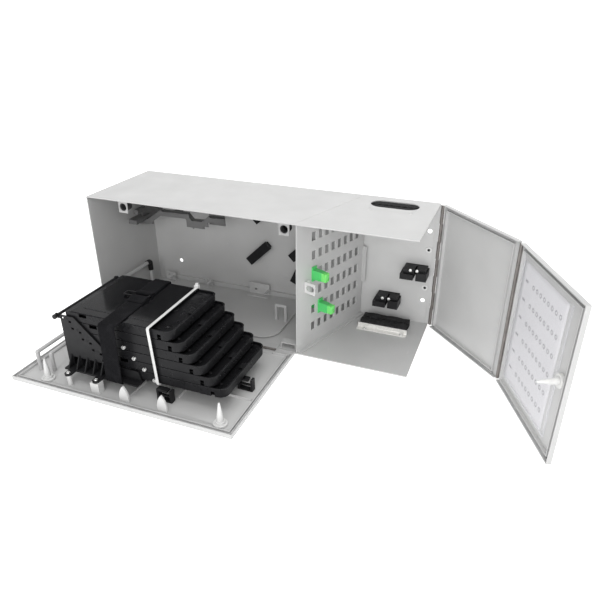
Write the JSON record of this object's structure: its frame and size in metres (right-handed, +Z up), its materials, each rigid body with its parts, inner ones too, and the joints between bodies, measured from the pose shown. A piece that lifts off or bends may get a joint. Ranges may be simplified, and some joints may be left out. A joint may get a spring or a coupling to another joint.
{
  "type": "fiber termination box",
  "caption": "Wall-mounted metal fibre termination box with a drop-down lid carrying hinged splice trays, a slanted adapter panel and a folding side and front door.",
  "frame": {"origin": "centre of the case's flat back face, on the wall plane", "axes": "+Y out of the back towards the wall, +X to the right seen from the front, +Z up"},
  "size_m": [0.6861, 0.3605, 0.2001],
  "materials": {
    "case_paint": "fine-texture light grey powder coat, satin",
    "panel_paint": "fine-texture light grey powder coat, satin",
    "bracket_grey": "light grey powder coat, satin",
    "guide_grey": "moulded light grey plastic",
    "galvanised": "zinc plated sheet",
    "hinge_steel": "plated steel hinge",
    "screw_steel": "bright zinc screws",
    "black_plastic": "black moulded plastic, fine grain",
    "tray_black": "black moulded plastic, semi-gloss",
    "clear_smoke": "smoked clear plastic",
    "white_plastic": "white moulded nylon",
    "clear_nylon": "milky translucent nylon",
    "green_plastic": "green moulded plastic, APC colour",
    "green_cap": "light green soft caps",
    "black_foam": "open-cell black foam",
    "gasket_grey": "foamed dark grey gasket",
    "strap_fabric": "black hook-and-loop webbing",
    "paper": "printed record sheet with plain port marks",
    "pocket_film": "clear film pocket"
  },
  "bodies": {
    "case": {"case_shell": "case_paint", "adapter_panel": "panel_paint", "latch_catch": "white_plastic", "lid_lock_tabs": "bracket_grey", "lid_lock_spring_rings": "gasket_grey", "top_cable_guide": "bracket_grey", "back_wall_clips": "black_plastic", "patch_cable_clips": "black_plastic", "patch_clip_screws": "screw_steel", "wall_screw_bushes": "white_plastic", "storage_plate_and_brackets": "case_paint", "floor_guide_bars": "guide_grey", "cable_entry_foams": "black_foam", "cable_entry_plates": "galvanised", "cable_entry_screws": "screw_steel", "sc_adapters": "green_plastic", "adapter_dust_caps": "green_cap", "lid_hinge_case_leaves": "hinge_steel", "lid_hinge_pins": "hinge_steel", "side_hinge_case_leaf": "hinge_steel", "side_hinge_pin": "hinge_steel"},
    "lid": {"lid_panel": "case_paint", "lid_gasket": "gasket_grey", "lid_hinge_lid_leaves": "hinge_steel", "lid_post_bosses": "white_plastic", "lid_fibre_fins": "white_plastic", "lid_cable_clips": "black_plastic", "lid_guide_bar": "guide_grey", "stand_feet": "white_plastic", "stand_screws": "screw_steel", "tray_stand": "black_plastic", "stand_retaining_rod": "black_plastic", "tray_strap": "strap_fabric", "strap_buckle": "black_plastic", "cable_tie": "white_plastic"},
    "lid_post_left": {"lid_post_left": "white_plastic"},
    "lid_post_right": {"lid_post_right": "white_plastic"},
    "tray_1": {"splice_tray_1": "tray_black", "tube_end_1": "white_plastic"},
    "tray_2": {"splice_tray_2": "tray_black", "tube_end_2": "white_plastic"},
    "tray_3": {"splice_tray_3": "tray_black", "tube_end_3": "white_plastic"},
    "tray_4": {"splice_tray_4": "tray_black", "tube_end_4": "white_plastic"},
    "tray_5": {"splice_tray_5": "tray_black"},
    "tray_6": {"splice_tray_6": "tray_black", "tray_cover": "clear_smoke"},
    "side_panel": {"side_panel": "case_paint", "side_panel_gasket": "gasket_grey", "side_hinge_panel_leaf": "hinge_steel", "fold_hinge_side_leaf": "hinge_steel", "fold_hinge_pin": "hinge_steel"},
    "front_door": {"front_door": "case_paint", "front_door_gasket": "gasket_grey", "fold_hinge_door_leaf": "hinge_steel", "label_sheet": "paper", "label_pocket": "pocket_film", "door_post_boss": "clear_nylon"},
    "door_post": {"door_post": "clear_nylon"}
  },
  "joints": [
    {"name": "lid_hinge", "type": "hinge", "parent": "case", "child": "lid", "pos_m": [-0.082, -0.1635, -0.097], "axis": [1, 0, 0], "range_deg": [-90, 0]},
    {"name": "lid_post_left_turn", "type": "hinge", "parent": "lid", "child": "lid_post_left", "pos_m": [-0.203, -0.3425, -0.09], "axis": [0, 0, 1], "range_deg": [-90, 0]},
    {"name": "lid_post_right_turn", "type": "hinge", "parent": "lid", "child": "lid_post_right", "pos_m": [0.061, -0.3425, -0.09], "axis": [0, 0, 1], "range_deg": [-90, 0]},
    {"name": "side_panel_hinge", "type": "hinge", "parent": "case", "child": "side_panel", "pos_m": [0.2535, -0.0035, 0], "axis": [0, 0, 1], "range_deg": [-44.6, 45]},
    {"name": "front_door_fold", "type": "hinge", "parent": "side_panel", "child": "front_door", "pos_m": [0.36584, -0.11742, 0], "axis": [0, 0, 1], "range_deg": [-69.4, 20.6]},
    {"name": "door_post_turn", "type": "hinge", "parent": "front_door", "child": "door_post", "pos_m": [0.42706, -0.25491, 0.002], "axis": [-0.9135, -0.4067, 0], "range_deg": [-90, 0]},
    {"name": "tray_1_flip", "type": "hinge", "parent": "lid", "child": "tray_1", "pos_m": [-0.0987, -0.2605, -0.0755], "axis": [0, -1, 0], "range_deg": [0, 90], "deforming": ["tray_strap", "cable_tie", "strap_buckle"]},
    {"name": "tray_2_flip", "type": "hinge", "parent": "lid", "child": "tray_2", "pos_m": [-0.1126, -0.2605, -0.0621], "axis": [0, -1, 0], "range_deg": [0, 90]},
    {"name": "tray_3_flip", "type": "hinge", "parent": "lid", "child": "tray_3", "pos_m": [-0.1265, -0.2605, -0.0487], "axis": [0, -1, 0], "range_deg": [0, 90]},
    {"name": "tray_4_flip", "type": "hinge", "parent": "lid", "child": "tray_4", "pos_m": [-0.1404, -0.2605, -0.0353], "axis": [0, -1, 0], "range_deg": [0, 90]},
    {"name": "tray_5_flip", "type": "hinge", "parent": "lid", "child": "tray_5", "pos_m": [-0.1543, -0.2605, -0.0219], "axis": [0, -1, 0], "range_deg": [0, 90]},
    {"name": "tray_6_flip", "type": "hinge", "parent": "lid", "child": "tray_6", "pos_m": [-0.1682, -0.2605, -0.0085], "axis": [0, -1, 0], "range_deg": [0, 90]}
  ],
  "couplings": [
    {"joint": "tray_2_flip", "follows": "tray_1_flip", "ratio": 1},
    {"joint": "tray_3_flip", "follows": "tray_1_flip", "ratio": 1},
    {"joint": "tray_4_flip", "follows": "tray_1_flip", "ratio": 1},
    {"joint": "tray_5_flip", "follows": "tray_1_flip", "ratio": 1},
    {"joint": "tray_6_flip", "follows": "tray_1_flip", "ratio": 1}
  ]
}
